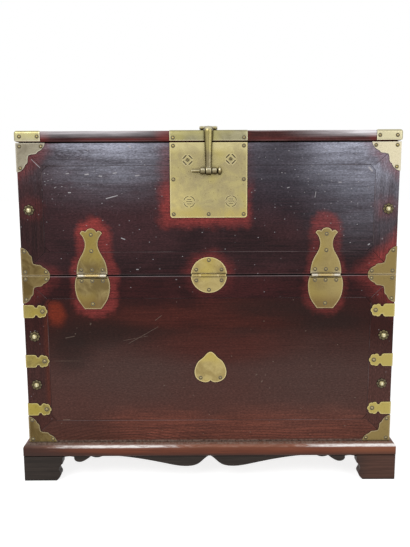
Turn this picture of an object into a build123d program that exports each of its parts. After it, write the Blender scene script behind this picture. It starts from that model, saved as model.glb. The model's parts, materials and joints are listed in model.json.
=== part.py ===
"""A bandaji: a Korean chest whose upper front drops forward on hinges at mid height.

Millimetres, +Z up, front towards -Y. The origin lies on the floor, under the middle of the whole
object's bounding box. The chest is a box of boards on a moulded base with bracket feet; every
fitting is sheet or cast brass, held by domed nails.
"""

import os
from math import atan2, degrees

from build123d import *

# ---------------------------------------------------------------- driving dimensions: woodwork
case_width = 880
case_depth = 430
lower_front_height = 413
door_opening_height = 309
frame_thickness = 22
stile_width = 56
rail_width = 55
door_top_rail_width = 52
panel_corner = 12  # the panels' corners are cut off at 45 degrees by this much
panel_recess = 0.4
panel_thickness = 14
tongue_thickness = 6
tongue_length = 8
tongue_clearance = 0.4
side_thickness = 20
back_thickness = 12
back_board_count = 3
bottom_thickness = 12
top_thickness = 24
top_side_overhang = 2
top_front_overhang = 5
top_edge_radius = 5
stop_rail_height = 24
stop_rail_depth = 20
seam_gap = 1
door_top_gap = 2
arris = 0.7  # broken edges of the frames and panels

# ---------------------------------------------------------------- driving dimensions: base
base_overhang = 14
base_rail_height = 32
base_rail_depth = 54
base_nose_radius = 12
base_rail_arris = 2
foot_height = 62
foot_thickness = 24
foot_width = 95
apron_thickness = 14
apron_setback = 6
apron_tongue = 10
apron_drop = 28.5
apron_end = 97  # length of the small carving at each end of the front apron
side_carving_scale = 0.55

# ---------------------------------------------------------------- driving dimensions: brass
plate = 1.2
corner_arm = 66
cap_arm = 60
door_fold = 20  # how far the door's corner plates fold round its edge
strap_height = 31
strap_reach = 56
strap_levels = (327, 205, 84)  # above the underside of the case
rosette_levels = (266, 146)  # above the underside of the case
door_rosette_level = 154  # above the seam
rosette_inset = 23
rosette_radius = 12.4
dome_radius = 7.4
dome_height = 5.6
nail_head_radius = 3.2
nail_head_height = 1.7
strap_nail_radius = 4
strap_nail_height = 2
shank_radius = 1.1
shank_length = 12
shank_clearance = 0.05
nail_edge = 8  # from a plate's edge to its nails
side_nail_edge = 15  # keeps the nails that come in from the side clear of those from the front
lock_plate_width = 178
lock_plate_height = 172
lock_plate_radius = 6
lock_strip_reach = 48  # over the top board
sheet_foot = 1.5  # the fittings of the top board end this far above its underside
peach_offset = 3
peach_width = 76.5
peach_height = 76
peach_level = 151  # its foot, above the underside of the case

# ---------------------------------------------------------------- driving dimensions: hinges
hinge_inset = 165  # from the side of the case to the middle of an outer hinge
knuckle_radius = 3.2
hinge_pin_radius = 1.3
hinge_pin_end = 1
hinge_axis_out = 3.6
leaf_edge = 2.8  # from the hinge's axis to the straight edges of its leaves
gourd_width = 72
gourd_height = 111
gourd_foot_width = 82
gourd_foot_height = 80.5
round_hinge_radius = 42.5
bar_inset = 2.5  # the knuckles stop this far inside the leaf
middle_knuckle_share = 0.52
knuckle_gap = 0.4
running_clearance = 0.05

# ---------------------------------------------------------------- driving dimensions: lock
hasp_pivot_back = 10.5  # behind the front edge of the top board
hasp_knuckle_radius = 4.4
hasp_knuckle_lift = 0.3
hasp_pin_radius = 2
hasp_pin_head = 2
hasp_pin_head_radius = 3.4
hasp_width = 20
hasp_thickness = 8.5
hasp_clearance = 1
hasp_bend_radius = 4
hasp_side = 1.5  # the height of the half-round bar's flat sides
hasp_eye_radius = 9.5
hasp_eye_width = 13.6
hasp_eye_clearance = 0.6
lug_width = 8
lug_gap = 0.5
lug_stem = 5
lug_stem_length = 12
staple_drop = 65  # below the top of the door
staple_out = 12
staple_radius = 8
staple_width = 12
bead_rounding = 3  # of the rims of the staples' rings and of the hasp's eye
staple_stem = 7
staple_gap = 0.5
clench_length = 20
clench_thickness = 2.4
lock_pin_radius = 3.5
lock_pin_clearance = 0.1
lock_pin_tail = 21
lock_pin_point = 1
lock_knob_radius = 9.5
lock_knob_length = 11

# ---------------------------------------------------------------- levels and planes
base_height = foot_height + base_rail_height
seam_level = base_height + lower_front_height
door_bottom = seam_level + seam_gap / 2
lower_front_top = seam_level - seam_gap / 2
top_underside = seam_level + door_opening_height
door_top = top_underside - door_top_gap
top_level = top_underside + top_thickness
half_width = case_width / 2

lock_reach = staple_out + max(hasp_eye_radius, lock_knob_radius)  # the foremost metal
face = (lock_reach - case_depth) / 2  # y of the front of the door and of the lower front
case_back = face + case_depth
frame_back = face + frame_thickness
top_front = face - top_front_overhang
top_half_width = half_width + top_side_overhang
base_front = face - base_overhang
base_half_width = half_width + base_overhang
front_plane = Plane.XZ.offset(-face)
edge_plane = Plane.XZ.offset(-top_front)
side_plane = Plane.YZ.offset(half_width)
sides = (("left", -1), ("right", 1))
pieces = {}


# ---------------------------------------------------------------- outlines of the brass plates
def half_outline(width, height, *edges):
    """Draws a symmetrical outline. Each edge is a kind of curve and its points, down the right
    half, as shares of the half width and of the height."""
    with BuildLine() as outline:
        for kind, points in edges:
            kind(*[(width / 2 * across, height * up) for across, up in points])
        mirror(about=Plane.YZ)
    make_face(outline.line)


with BuildSketch() as corner_leaf:
    lobes = (
        (Spline, ((1, 0), (0.975, 0.1), (0.88, 0.225), (0.745, 0.3))),
        (ThreePointArc, ((0.745, 0.3), (0.69, 0.365), (0.615, 0.385))),
        (ThreePointArc, ((0.615, 0.385), (0.52, 0.395), (0.425, 0.425))),
    )
    with BuildLine():
        Polyline((0, corner_arm), (0, 0), (corner_arm, 0))
        for kind, points in lobes:
            kind(*[(corner_arm * along, corner_arm * away) for along, away in points])
            kind(*[(corner_arm * away, corner_arm * along) for along, away in points])
    make_face()
cap_leaf = scale(corner_leaf.sketch, by=cap_arm / corner_arm)

gourd_edge = leaf_edge / gourd_height
with BuildSketch() as gourd_top:
    half_outline(
        gourd_width,
        gourd_height,
        (Spline, ((0, 1), (0.19, 0.985), (0.36, 0.925))),
        (ThreePointArc, ((0.36, 0.925), (0.56, 0.945), (0.71, 0.89))),
        (Spline, ((0.71, 0.89), (0.51, 0.80), (0.41, 0.667), (0.55, 0.495), (0.81, 0.342),
                  (0.97, 0.17), (1, gourd_edge))),
        (Line, ((1, gourd_edge), (0, gourd_edge))),
    )

gourd_foot_edge = leaf_edge / gourd_foot_height
with BuildSketch() as gourd_foot:
    half_outline(
        gourd_foot_width,
        -gourd_foot_height,
        (Line, ((0, gourd_foot_edge), (0.9, gourd_foot_edge))),
        (Spline, ((0.9, gourd_foot_edge), (0.99, 0.2), (0.985, 0.46), (0.86, 0.7), (0.63, 0.89),
                  (0.47, 1))),
        (Line, ((0.47, 1), (0, 1))),
    )

with BuildSketch() as round_top:
    Circle(round_hinge_radius)
    with Locations((0, leaf_edge - round_hinge_radius)):
        Rectangle(2 * round_hinge_radius, 2 * round_hinge_radius, mode=Mode.SUBTRACT)
round_foot = round_top.sketch.mirror(Plane.XZ)

with BuildSketch() as peach:
    half_outline(
        peach_width,
        peach_height,
        (Spline, ((0, 1), (0.21, 0.945), (0.45, 0.81), (0.71, 0.705), (0.94, 0.5), (1, 0.31),
                  (0.89, 0.14), (0.6, 0.03), (0.24, 0), (0, 0.065))),
    )

strap_head_radius = strap_height / 2
with BuildSketch() as strap_leaf:
    head_centre = strap_reach - strap_head_radius
    shoulder = head_centre - 0.9 * strap_head_radius
    with Locations((shoulder / 2, 0)):
        Rectangle(shoulder, strap_height)
    fillet(vertices().group_by(Axis.X)[-1], 0.42 * strap_head_radius)
    with Locations((head_centre / 2, 0)):
        Rectangle(head_centre, 0.6 * strap_height)
    with Locations((head_centre, 0)):
        Circle(0.74 * strap_head_radius)
        with PolarLocations(0.58 * strap_head_radius, 5, start_angle=-104, angular_range=260):
            Circle(0.42 * strap_head_radius)

with BuildSketch() as rosette:
    Circle(0.8 * rosette_radius)
    with PolarLocations(0.73 * rosette_radius, 8):
        Circle(0.27 * rosette_radius)

# ---------------------------------------------------------------- where the nails stand
hinge_x = half_width - hinge_inset
nail_row = leaf_edge + nail_edge + 2
corner_far = corner_arm - nail_edge - 1
corner_nails = ((corner_far, nail_edge), (nail_edge, nail_edge), (nail_edge, corner_far))
side_corner_nails = (
    (corner_far, nail_edge),
    (side_nail_edge, nail_edge),
    (side_nail_edge, corner_far - nail_edge),
)
gourd_top_nails = [(share * gourd_width / 2, nail_row) for share in (-0.7, 0, 0.7)]
gourd_top_nails += [(0, 0.52 * gourd_height), (0, 0.865 * gourd_height)]
gourd_foot_nails = [(share * gourd_foot_width / 2, -nail_row) for share in (-0.61, 0, 0.61)]
gourd_foot_nails += [(0, 1.5 * nail_edge - gourd_foot_height)]
round_nails = [(share * round_hinge_radius, nail_row) for share in (-0.7, 0.7)]
round_nails += [(0, round_hinge_radius - nail_edge + 1)]
rosette_x = half_width - rosette_inset
strap_nail = strap_reach - 0.75 * strap_head_radius
lock_edge = lock_plate_width / 2 - nail_edge
lock_foot = door_top - lock_plate_height


def both_sides(points):
    """The points given for the right-hand side, and their mirror images."""
    return [(sign * x, z) for _, sign in sides for x, z in points]


def corner_points(level, up):
    """Nails of a right-hand corner plate, which rises from its level (up is 1) or hangs (-1)."""
    return [(half_width - along, level + up * away) for along, away in corner_nails]


door_nails = both_sides(
    corner_points(door_top, -1)
    + corner_points(door_bottom, 1)
    + [(hinge_x + x, seam_level + z) for x, z in gourd_top_nails]
    + [(lock_edge, z) for z in (door_top - nail_edge, lock_foot + 88, lock_foot + nail_edge)]
)
door_nails += [(x, seam_level + z) for x, z in round_nails]
door_nails += [(0, lock_foot + nail_edge)]
case_nails = both_sides(
    corner_points(lower_front_top, -1)
    + corner_points(base_height, 1)
    + [(hinge_x + x, seam_level + z) for x, z in gourd_foot_nails]
)
case_nails += [(x, seam_level - z) for x, z in round_nails]
case_nails += [
    (peach_offset + share * peach_width, base_height + peach_level + 0.145 * peach_height)
    for share in (-0.31, 0.31)
]
strap_nails = both_sides([(half_width - strap_nail, base_height + z) for z in strap_levels])
case_domes = both_sides([(rosette_x, base_height + z) for z in rosette_levels])
door_domes = both_sides([(rosette_x, seam_level + door_rosette_level)])
edge_nails = both_sides(
    [
        (top_half_width - nail_edge - 4, top_underside + top_thickness / 2),
        (top_half_width - cap_arm + nail_edge, top_underside + top_thickness / 2),
        (lock_edge, top_underside + nail_edge),
    ]
)
side_nails = [
    (face + along, level + up * away)
    for level, up in ((lower_front_top, -1), (base_height, 1))
    for along, away in side_corner_nails
]
side_strap_nails = [(face + strap_nail, base_height + z) for z in strap_levels]


def make_nail(head_radius, head_height):
    """A domed nail at the origin: its head stands on XY and its shank runs down."""
    bulge = (head_radius**2 + head_height**2) / (2 * head_height)
    start = degrees(atan2(bulge - head_height, head_radius))
    with BuildPart() as nail:
        with BuildSketch(Plane.XZ):
            with BuildLine():
                Polyline(
                    (0, head_height),
                    (0, -shank_length),
                    (shank_radius, -shank_length),
                    (shank_radius, 0),
                    (head_radius, 0),
                )
                CenterArc((0, head_height - bulge), bulge, start, 90 - start)
            make_face()
        revolve(axis=Axis.Z)
    return nail.part


plate_nail = make_nail(nail_head_radius, nail_head_height)
strap_nail_piece = make_nail(strap_nail_radius, strap_nail_height)
dome_nail = make_nail(dome_radius, dome_height)


def shank_holes(plane, points):
    """The outlines of the holes for the shanks of the nails at these points of a plane."""
    with BuildSketch(plane) as outlines:
        with Locations(*points):
            Circle(shank_radius + shank_clearance)
    return outlines.sketch


door_holes = shank_holes(front_plane, door_nails + door_domes)
case_holes = shank_holes(front_plane, case_nails + strap_nails + case_domes)
edge_holes = shank_holes(edge_plane, edge_nails)
side_holes = shank_holes(side_plane, side_nails + side_strap_nails)
left_side_holes = side_holes.mirror(Plane.YZ)


def drill(*outlines):
    """Takes shank holes out of the piece being made, plates and wood alike."""
    for outline in outlines:
        extrude(outline, amount=shank_length, both=True, mode=Mode.SUBTRACT)


def drive(plane, points, nail):
    """Adds nails whose heads sit on a plate that lies on this plane."""
    surface = plane.offset(plate)
    with Locations(*[surface.location * Location((a, b, 0)) for a, b in points]):
        add(nail)


# ---------------------------------------------------------------- mitred frames and their panels
def polygon(*points):
    """A face with these corners, in the sketch being drawn."""
    with BuildLine() as outline:
        Polyline(*points, close=True)
    make_face(outline.line)


def octagon(plane, middle, width, height):
    """A rectangle on a plane with its corners cut off, as the panels are."""
    with BuildSketch(plane) as outline:
        with Locations((0, middle)):
            Rectangle(width, height)
        chamfer(vertices(), length=panel_corner)
    return outline.sketch


def framed_front(prefix, bottom, top, top_rail, *holes):
    """A mitred frame from bottom to top, and its panel, tongued into the frame."""
    low = bottom + rail_width
    high = top - top_rail
    middle = (low + high) / 2
    inner_x = half_width - stile_width
    tongue_plane = front_plane.offset(-panel_recess - (panel_thickness - tongue_thickness) / 2)

    def tongue(reach):
        return octagon(tongue_plane, middle, 2 * (inner_x + reach), high - low + 2 * reach)

    members = {
        "rail_top": ((-half_width, top), (-inner_x, high), (inner_x, high), (half_width, top)),
        "rail_bottom": ((-half_width, bottom), (-inner_x, low), (inner_x, low), (half_width, bottom)),
    }
    for side, sign in sides:
        members[f"stile_{side}"] = (
            (sign * half_width, bottom),
            (sign * inner_x, low),
            (sign * (inner_x - panel_corner), low),
            (sign * inner_x, low + panel_corner),
            (sign * inner_x, high - panel_corner),
            (sign * (inner_x - panel_corner), high),
            (sign * inner_x, high),
            (sign * half_width, top),
        )
    for name, outline in members.items():
        with BuildPart() as member:
            with BuildSketch(front_plane):
                polygon(*outline)
            extrude(amount=-frame_thickness)
            front_edges = member.faces().sort_by(Axis.Y)[0].edges()
            long_edges = front_edges.filter_by(lambda edge: edge.length > 2 * panel_corner)
            chamfer(long_edges, length=arris)
            groove = tongue(tongue_length + tongue_clearance)
            extrude(groove, amount=-tongue_thickness, mode=Mode.SUBTRACT)
            drill(*holes)
        pieces[f"{prefix}_{name}"] = member

    with BuildPart() as panel:
        field = octagon(front_plane.offset(-panel_recess), middle, 2 * inner_x, high - low)
        extrude(field, amount=-panel_thickness)
        chamfer(panel.faces().sort_by(Axis.Y)[0].edges(), length=arris)
        extrude(tongue(tongue_length), amount=-tongue_thickness)
        drill(*holes)
    pieces[f"{prefix}_panel"] = panel
    return panel


frame_holes = (case_holes, side_holes, left_side_holes)
framed_front("front", base_height, lower_front_top, rail_width, *frame_holes)
door_panel = framed_front("door", door_bottom, door_top, door_top_rail_width, door_holes)

# ---------------------------------------------------------------- case boards
inner_half_width = half_width - side_thickness
back_front = case_back - back_thickness


def board(x_span, y_span, z_span):
    """A plain board between these limits, added to the piece being made."""
    middle = [(low + high) / 2 for low, high in (x_span, y_span, z_span)]
    with Locations(tuple(middle)):
        Box(*[high - low for low, high in (x_span, y_span, z_span)])


for side, sign in sides:
    with BuildPart() as side_board:
        board((inner_half_width, half_width), (frame_back, case_back), (base_height, top_underside))
        drill(side_holes)
        if side == "left":
            mirror(about=Plane.YZ, mode=Mode.REPLACE)
    pieces[f"side_board_{side}"] = side_board

back_step = (top_underside - base_height) / back_board_count
for index in range(back_board_count):
    with BuildPart() as back_board:
        board(
            (-inner_half_width, inner_half_width),
            (back_front, case_back),
            (base_height + index * back_step, base_height + (index + 1) * back_step),
        )
        chamfer(back_board.edges().filter_by(Axis.X).group_by(Axis.Y)[-1], length=arris)
    pieces[f"back_board_{index + 1}"] = back_board

with BuildPart() as bottom_board:
    board(
        (-inner_half_width, inner_half_width),
        (frame_back, back_front),
        (base_height, base_height + bottom_thickness),
    )
pieces["bottom_board"] = bottom_board

with BuildPart() as stop_rail:
    board(
        (-inner_half_width, inner_half_width),
        (frame_back, frame_back + stop_rail_depth),
        (top_underside - stop_rail_height, top_underside),
    )
pieces["door_stop_rail"] = stop_rail


def top_block(grow):
    """The top board, or its shape grown outwards by the thickness of a fitting."""
    with BuildPart() as block:
        board(
            (-top_half_width - grow, top_half_width + grow),
            (top_front - grow, case_back),
            (top_underside - grow, top_level + grow),
        )
        rounded = block.edges().filter_by(lambda edge: edge.center().Y < case_back - 1)
        fillet(rounded, top_edge_radius + grow)
    return block.part


plain_top = top_block(0)
grown_top = top_block(plate)

# ---------------------------------------------------------------- hasp, its lugs and its pin
pivot_y = top_front + hasp_pivot_back
pivot_z = top_level + plate + hasp_knuckle_lift + hasp_knuckle_radius
lug_x = hasp_width / 2 + lug_gap + lug_width / 2
lock_level = door_top - staple_drop
lock_y = face - staple_out


def rod(start, end, y, z, radius, mode=Mode.ADD):
    """A round bar along X between two places, added to the piece being made, or a bore."""
    with BuildSketch(Plane.YZ.offset(start)) as section:
        with Locations((y, z)):
            Circle(radius)
    extrude(section.sketch, amount=end - start, mode=mode)


def lug_stems():
    """The two stems of the lugs, in the sketch being drawn from above."""
    with Locations((-lug_x, pivot_y), (lug_x, pivot_y)):
        Rectangle(lug_width, lug_stem)


stem_foot = top_level - lug_stem_length
with BuildPart() as top_board:
    add(plain_top)
    drill(edge_holes)
    with BuildSketch(Plane.XY.offset(stem_foot)):
        lug_stems()
    extrude(amount=lug_stem_length, mode=Mode.SUBTRACT)
pieces["top_board"] = top_board

with BuildPart() as hasp_lugs:
    with BuildSketch(Plane.XY.offset(stem_foot)):
        lug_stems()
    extrude(amount=pivot_z - stem_foot)
    for centre in (-lug_x, lug_x):
        rod(centre - lug_width / 2, centre + lug_width / 2, pivot_y, pivot_z, hasp_knuckle_radius)
    lug_end = lug_x + lug_width / 2
    rod(-lug_end, lug_end, pivot_y, pivot_z, hasp_pin_radius + running_clearance, Mode.SUBTRACT)
pieces["hasp_lugs"] = hasp_lugs

with BuildPart() as hasp_pin:
    rod(-lug_end, lug_end, pivot_y, pivot_z, hasp_pin_radius)
    rod(lug_end, lug_end + hasp_pin_head, pivot_y, pivot_z, hasp_pin_head_radius)
    rod(-lug_end - hasp_pin_head, -lug_end, pivot_y, pivot_z, hasp_pin_head_radius)

def hasp_section(plane, width, inner):
    """The hasp's half-round section, on a plane whose Y points outwards."""
    shoulder = inner + hasp_side
    with BuildSketch(plane) as section:
        with BuildLine():
            Polyline((-width / 2, shoulder), (-width / 2, inner), (width / 2, inner),
                     (width / 2, shoulder))
            ThreePointArc((width / 2, shoulder), (0, inner + hasp_thickness),
                          (-width / 2, shoulder))
        make_face()
    return section.sketch


def bead(start, end, y, z, radius):
    """A round bar along X whose rims are rounded over."""
    with BuildPart() as barrel:
        rod(start, end, y, z, radius)
        fillet(barrel.edges().filter_by(GeomType.CIRCLE), bead_rounding)
    return barrel.part


with BuildPart() as hasp:
    arm_in = top_front - plate - hasp_clearance
    strap_foot = pivot_z + hasp_knuckle_radius - hasp_thickness
    bend_y = arm_in + hasp_bend_radius
    bend_z = strap_foot - hasp_bend_radius
    eye_half = hasp_eye_width / 2
    bend_plane = Plane((0, 0, bend_z), x_dir=(1, 0, 0), z_dir=(0, 0, -1))
    arm_top = hasp_section(bend_plane, hasp_width, -arm_in)
    arm_end = hasp_section(bend_plane.offset(bend_z - lock_level), hasp_eye_width, -arm_in)
    loft([arm_top.face(), arm_end.face()], ruled=True)
    revolve(arm_top, axis=Axis((0, bend_y, bend_z), (-1, 0, 0)), revolution_arc=90)
    strap_section = hasp_section(Plane.XZ.offset(-bend_y), hasp_width, strap_foot)
    extrude(strap_section, amount=bend_y - pivot_y)
    rod(-hasp_width / 2, hasp_width / 2, pivot_y, pivot_z, hasp_knuckle_radius)
    add(bead(-eye_half, eye_half, lock_y, lock_level, hasp_eye_radius))
    rod(-hasp_width, hasp_width, pivot_y, pivot_z, hasp_pin_radius + running_clearance,
        Mode.SUBTRACT)
    rod(-hasp_width, hasp_width, lock_y, lock_level, lock_pin_radius + hasp_eye_clearance,
        Mode.SUBTRACT)
pieces["hasp"] = hasp

# ---------------------------------------------------------------- lock plate, staples, lock pin
panel_back = face + panel_recess + panel_thickness
staple_x = eye_half + staple_gap + staple_width / 2
staple_end = staple_x + staple_width / 2


with BuildSketch(front_plane) as staple_slots:
    with Locations((-staple_x, lock_level), (staple_x, lock_level)):
        Rectangle(staple_width, staple_stem)

with BuildPart() as slotted_panel:
    add(door_panel.part)
    extrude(staple_slots.sketch, amount=frame_thickness, both=True, mode=Mode.SUBTRACT)
pieces["door_panel"] = slotted_panel

with BuildPart() as lock_plate:
    with BuildSketch(front_plane):
        with Locations((0, door_top - lock_plate_height / 2)):
            Rectangle(lock_plate_width, lock_plate_height)
        fillet(vertices().group_by(Axis.Y)[0], lock_plate_radius)
    extrude(amount=plate)
    extrude(staple_slots.sketch, amount=plate, mode=Mode.SUBTRACT)
    drill(door_holes)
pieces["lock_plate"] = lock_plate

for side, sign in sides:
    with BuildPart() as staple:
        ring_start = sign * staple_x - staple_width / 2
        add(bead(ring_start, ring_start + staple_width, lock_y, lock_level, staple_radius))
        with BuildSketch(Plane.YZ.offset(sign * staple_x)):
            with Locations(((lock_y + panel_back) / 2, lock_level)):
                Rectangle(panel_back - lock_y, staple_stem)
            with Locations((panel_back + clench_thickness / 2, lock_level)):
                Rectangle(clench_thickness, clench_length)
        extrude(amount=staple_width / 2, both=True)
        rod(-staple_end, staple_end, lock_y, lock_level, lock_pin_radius + lock_pin_clearance,
            Mode.SUBTRACT)
    pieces[f"staple_{side}"] = staple

with BuildPart() as lock_pin:
    knob_start = staple_end + staple_gap
    tail_end = -staple_end - lock_pin_tail
    with BuildSketch(Plane.XZ.offset(-lock_y)):
        with Locations((knob_start + lock_knob_length / 2, lock_level)):
            Ellipse(lock_knob_length / 2, lock_knob_radius)
        with Locations((knob_start, lock_level - lock_knob_radius)):
            Rectangle(2 * lock_knob_length, 2 * lock_knob_radius, align=(Align.MIN, Align.CENTER),
                      mode=Mode.SUBTRACT)
        polygon(
            (knob_start + lock_knob_length / 2, lock_level),
            (tail_end, lock_level),
            (tail_end, lock_level + lock_pin_radius - lock_pin_point),
            (tail_end + lock_pin_point, lock_level + lock_pin_radius),
            (knob_start + lock_knob_length / 2, lock_level + lock_pin_radius),
        )
    revolve(axis=Axis((0, lock_y, lock_level), (1, 0, 0)))
pieces["lock_pin"] = lock_pin

# ---------------------------------------------------------------- fittings of the top board
sheet_start = Plane.XY.offset(top_underside + sheet_foot)
with BuildPart() as lock_strip:
    add(grown_top)
    with BuildSketch(sheet_start):
        with Locations((0, top_front - plate)):
            Rectangle(lock_plate_width, 2 * (lock_strip_reach + plate))
        fillet(vertices().group_by(Axis.Y)[-1], lock_plate_radius)
    extrude(amount=top_thickness + plate, mode=Mode.INTERSECT)
    add(plain_top, mode=Mode.SUBTRACT)
    drill(edge_holes)
    with BuildSketch(sheet_start):
        lug_stems()
    extrude(amount=top_thickness + plate, mode=Mode.SUBTRACT)
pieces["lock_strip"] = lock_strip

for side, sign in sides:
    with BuildPart() as top_cap:
        add(grown_top)
        corner = Location((top_half_width + plate, top_front - plate, 0), (0, 0, 90))
        with BuildSketch(sheet_start):
            with Locations(corner):
                add(cap_leaf)
        extrude(amount=top_thickness + plate, mode=Mode.INTERSECT)
        add(plain_top, mode=Mode.SUBTRACT)
        drill(edge_holes)
        if side == "left":
            mirror(about=Plane.YZ, mode=Mode.REPLACE)
    pieces[f"top_cap_{side}"] = top_cap


# ---------------------------------------------------------------- corner plates and straps
def leaf_on(plane, along, level, angle, outline):
    """A plate lying on a plane, its corner or its root at this place, turned by angle."""
    with BuildSketch(plane) as leaf:
        with Locations(Location((along, level, 0), (0, 0, angle))):
            add(outline)
    extrude(leaf.sketch, amount=plate)


def fold(low, high, back=0):
    """The folded edge that joins a plate's front to its side, and reaches back along the side."""
    board((half_width, half_width + plate), (face - plate, face + back), (low, high))


def finish_plate(name, side, holes, *plate_parts):
    """Drills a plate made for the right-hand side and mirrors it if it is the left-hand one."""
    with BuildPart() as fitted:
        add(plate_parts)
        drill(holes)
        if side == "left":
            mirror(about=Plane.YZ, mode=Mode.REPLACE)
    pieces[f"{name}_{side}"] = fitted


for side, sign in sides:
    with BuildPart() as door_corner:
        leaf_on(front_plane, half_width, door_top, 180, corner_leaf.sketch)
        fold(door_top - corner_arm, door_top, door_fold)
    finish_plate("door_corner_plate", side, door_holes, door_corner.part)

    with BuildPart() as door_mid:
        leaf_on(front_plane, half_width, door_bottom, 90, corner_leaf.sketch)
        fold(door_bottom, door_bottom + corner_arm, door_fold)
    finish_plate("door_mid_plate", side, door_holes, door_mid.part)

    with BuildPart() as case_mid:
        leaf_on(front_plane, half_width, lower_front_top, 180, corner_leaf.sketch)
        leaf_on(side_plane, face, lower_front_top, -90, corner_leaf.sketch)
        fold(lower_front_top - corner_arm, lower_front_top)
        drill(side_holes)
    finish_plate("case_mid_plate", side, case_holes, case_mid.part)

    with BuildPart() as case_corner:
        leaf_on(front_plane, half_width, base_height, 90, corner_leaf.sketch)
        leaf_on(side_plane, face, base_height, 0, corner_leaf.sketch)
        fold(base_height, base_height + corner_arm)
        drill(side_holes)
    finish_plate("case_corner_plate", side, case_holes, case_corner.part)

    with BuildPart() as straps:
        for level in strap_levels:
            middle = base_height + level
            leaf_on(front_plane, half_width, middle, 180, strap_leaf.sketch)
            leaf_on(side_plane, face, middle, 0, strap_leaf.sketch)
            fold(middle - strap_height / 2, middle + strap_height / 2)
        drill(side_holes)
    finish_plate("corner_straps", side, case_holes, straps.part)


def front_plates(name, points, outline, holes):
    """Flat plates on the front, all of one outline."""
    with BuildPart() as flat:
        with BuildSketch(front_plane):
            with Locations(*points):
                add(outline)
        extrude(amount=plate)
        drill(holes)
    pieces[name] = flat


front_plates("door_rosettes", door_domes, rosette.sketch, door_holes)
front_plates("case_rosettes", case_domes, rosette.sketch, case_holes)
peach_root = (peach_offset, base_height + peach_level)
front_plates("striking_plate", [peach_root], peach.sketch, case_holes)

# ---------------------------------------------------------------- hinges
hinge_y = face - hinge_axis_out


def hinge_leaf(centre, outline, up, spans, holes):
    """One leaf: a plate, its knuckles, and the strips that wrap from the plate to them."""
    with BuildPart() as leaf:
        with BuildSketch(front_plane):
            with Locations((centre, seam_level)):
                add(outline)
        extrude(amount=plate)
        wrap_low, wrap_high = sorted((up * (knuckle_radius - plate), up * knuckle_radius))
        for start, end in spans:
            rod(start, end, hinge_y, seam_level, knuckle_radius)
            board((start, end), (hinge_y, face), (seam_level + wrap_low, seam_level + wrap_high))
        first, last = spans[0][0], spans[-1][1]
        bore = hinge_pin_radius + running_clearance
        rod(first, last, hinge_y, seam_level, bore, Mode.SUBTRACT)
        drill(holes)
    return leaf


hinges = {
    "left": (-hinge_x, gourd_width / 2, gourd_top.sketch, gourd_foot.sketch),
    "centre": (0, round_hinge_radius, round_top.sketch, round_foot),
    "right": (hinge_x, gourd_width / 2, gourd_top.sketch, gourd_foot.sketch),
}
bars = []
for name, (centre, half_leaf, top_outline, foot_outline) in hinges.items():
    half_bar = half_leaf - bar_inset
    half_middle = middle_knuckle_share * half_bar
    door_span = [(centre - half_middle, centre + half_middle)]
    case_spans = [
        (centre - half_bar, centre - half_middle - knuckle_gap),
        (centre + half_middle + knuckle_gap, centre + half_bar),
    ]
    bars.append((centre - half_bar - hinge_pin_end, centre + half_bar + hinge_pin_end))
    pieces[f"hinge_leaf_upper_{name}"] = hinge_leaf(centre, top_outline, 1, door_span, door_holes)
    pieces[f"hinge_leaf_lower_{name}"] = hinge_leaf(
        centre, foot_outline, -1, case_spans, case_holes
    )

with BuildPart() as pivot_pins:
    for start, end in bars:
        rod(start, end, hinge_y, seam_level, hinge_pin_radius)
    add(hasp_pin.part)
pieces["pivot_pins"] = pivot_pins

# ---------------------------------------------------------------- base
rail_inner_x = base_half_width - base_rail_depth
rail_inner_y = base_front + base_rail_depth
carving_top = foot_height + apron_tongue
apron_front_y = base_front + apron_setback


def apron_outline(half_span, size):
    """The carved board's outline about X = 0: the small carving at each end keeps its size, and
    the swell between them fills the span."""
    end = size * apron_end
    swell = half_span - end
    drop = size * apron_drop

    def at(inward, depth):
        return (half_span - inward * end, foot_height - depth * drop)

    cusp = (0, foot_height)
    with BuildLine() as outline:
        Polyline((0, carving_top), (half_span, carving_top), at(0, 0.18))
        Spline(at(0, 0.18), at(0.12, 0.08), at(0.28, 0.13))
        Spline(at(0.28, 0.13), at(0.32, 0.5), at(0.42, 0.59), at(0.52, 0.5), at(0.71, 0.06))
        Spline(at(0.71, 0.06), at(0.855, 0.18), at(1, 0.05))
        Spline(
            at(1, 0.05),
            (0.72 * swell, foot_height - 0.2 * drop),
            (0.42 * swell, foot_height - 0.72 * drop),
            (0.2 * swell, foot_height - drop),
            (0.11 * swell, foot_height - 0.8 * drop),
            (0.045 * swell, foot_height - 0.3 * drop),
            cusp,
        )
        mirror(about=Plane.YZ)
    make_face(outline.line)


def apron_groove(plane, half_span):
    """Takes the groove for an apron's tongue out of the rail being made."""
    with BuildSketch(plane) as mouth:
        with Locations((0, foot_height)):
            Rectangle(2 * half_span, apron_tongue, align=(Align.CENTER, Align.MIN))
    extrude(mouth.sketch, amount=-apron_thickness, mode=Mode.SUBTRACT)


base_middle_y = (base_front + case_back) / 2
front_half_span = base_half_width - foot_width
side_half_span = (case_back - base_front) / 2 - foot_width
front_apron_plane = Plane((0, apron_front_y, 0), x_dir=(1, 0, 0), z_dir=(0, -1, 0))
right_apron_plane = Plane(
    (base_half_width - apron_setback, base_middle_y, 0), x_dir=(0, 1, 0), z_dir=(1, 0, 0)
)


def ease_rail(rail, axis, outermost):
    """Rounds a rail's upper outer edge and breaks its lower one."""
    outer = rail.edges().filter_by(axis).group_by(outermost)[-1].sort_by(Axis.Z)
    fillet(outer[-1], base_nose_radius)
    chamfer(outer[0], length=base_rail_arris)


with BuildPart() as base_rail_front:
    with BuildSketch(Plane.XY.offset(foot_height)):
        polygon(
            (-base_half_width, base_front),
            (base_half_width, base_front),
            (rail_inner_x, rail_inner_y),
            (-rail_inner_x, rail_inner_y),
        )
    extrude(amount=base_rail_height)
    ease_rail(base_rail_front, Axis.X, -Axis.Y)
    apron_groove(front_apron_plane, front_half_span)
pieces["base_rail_front"] = base_rail_front

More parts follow.
